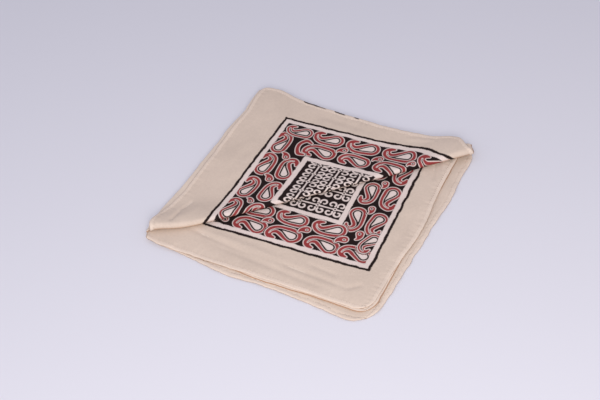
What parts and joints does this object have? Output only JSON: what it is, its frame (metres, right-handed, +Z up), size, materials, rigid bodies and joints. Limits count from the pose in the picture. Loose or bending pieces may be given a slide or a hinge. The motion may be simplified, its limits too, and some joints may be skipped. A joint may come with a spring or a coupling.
{
  "type": "folded bandana",
  "caption": "Square cotton bandana folded in four, with its top corner turned back over the diagonal to show the printed side.",
  "frame": {"origin": "middle of the folded cloth's bounding box, on the plane it rests on", "axes": "+Z up; +X along the far edge, away from the folded left edge; +Y towards the far edge"},
  "size_m": [0.279, 0.2916, 0.0163],
  "materials": {
    "cotton": "unbleached plain-weave cotton with a rolled hem, block printed in black and madder red on its front"
  },
  "bodies": {
    "root": {"cloth": "cotton"}
  },
  "joints": []
}
